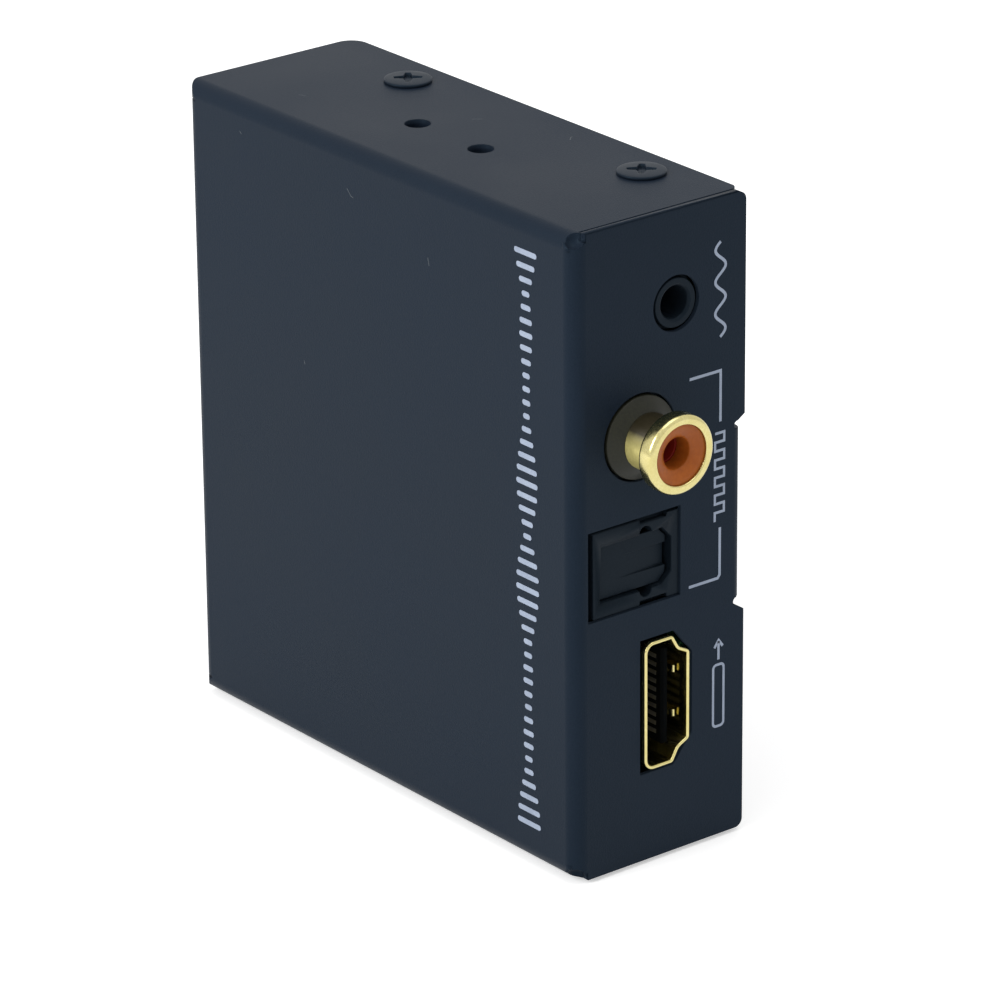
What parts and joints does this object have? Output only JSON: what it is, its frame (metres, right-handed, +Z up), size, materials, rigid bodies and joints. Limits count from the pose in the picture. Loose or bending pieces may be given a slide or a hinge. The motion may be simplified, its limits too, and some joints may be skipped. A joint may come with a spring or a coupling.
{
  "type": "audio extractor box",
  "caption": "Flat folded-steel converter box with video sockets and optical, coaxial and stereo sound outputs, standing on its narrow side.",
  "frame": {"origin": "midway between the two tapped mounting holes of the narrow side it stands on, on that side's outer face", "axes": "+Z up along the case's height, -X out of the printed broad face, -Y out of the output panel"},
  "size_m": [0.0252, 0.0778, 0.076],
  "materials": {
    "case_paint": "fine matte powder coat",
    "black_screw": "black zinc",
    "rubber": "matte",
    "board_green": "solder mask over glass cloth",
    "brass": "turned",
    "bright_steel": "bright",
    "socket_gold": "pale gold plate",
    "contact_tin": "tin plate",
    "orange_plastic": "moulded",
    "socket_black": "moulded, satin",
    "chip_black": "moulded epoxy",
    "lever_white": "moulded",
    "laminate_brown": "pressed laminate",
    "led_red": "clear tinted resin",
    "can_aluminium": "drawn can",
    "ceramic_tan": "fired ceramic"
  },
  "bodies": {
    "root": {"cover_shell": "case_paint", "base_plate": "case_paint", "side_screws": "black_screw", "rubber_feet": "rubber", "main_board": "board_green", "board_standoffs": "brass", "board_screws": "bright_steel", "shutter_pin": "bright_steel", "shutter_spring": "bright_steel", "mode_switch_cage": "bright_steel", "clock_crystal": "bright_steel", "video_out_shell": "socket_gold", "video_in_shell": "socket_gold", "coax_sleeve": "socket_gold", "coax_centre_contact": "socket_gold", "video_out_contacts": "contact_tin", "video_in_contacts": "contact_tin", "stereo_jack_contacts": "contact_tin", "power_jack_pin": "contact_tin", "power_jack_contact": "contact_tin", "mode_switch_terminals": "contact_tin", "coax_insert": "orange_plastic", "stereo_jack_body": "socket_black", "coax_housing": "socket_black", "optical_housing": "socket_black", "power_jack_body": "socket_black", "video_out_insulator": "socket_black", "video_in_insulator": "socket_black", "led_holder": "socket_black", "receiver_chip": "chip_black", "audio_chip": "chip_black", "control_chip": "chip_black", "memory_chip": "chip_black", "regulator_chips": "chip_black", "surge_protectors": "chip_black", "chip_resistors": "chip_black", "power_inductor": "chip_black", "mode_switch_base": "laminate_brown", "power_led": "led_red", "optical_emitter": "led_red", "filter_capacitors": "can_aluminium", "ceramic_capacitors": "ceramic_tan"},
    "shutter": {"optical_shutter": "socket_black"},
    "slider": {"mode_switch_slider": "lever_white"}
  },
  "joints": [
    {"name": "shutter_hinge", "type": "hinge", "parent": "root", "child": "shutter", "pos_m": [-0.00655, -0.03295, 0.03555], "axis": [0, 0, 1], "range_deg": [0, 90], "stiffness_Nm_per_rad": 0.0002, "springref_deg": -28.65, "deforming": ["shutter_spring"]},
    {"name": "mode_slide", "type": "slide", "parent": "root", "child": "slider", "axis": [0, 0, 1], "range_m": [-0.002, 0.002]}
  ]
}
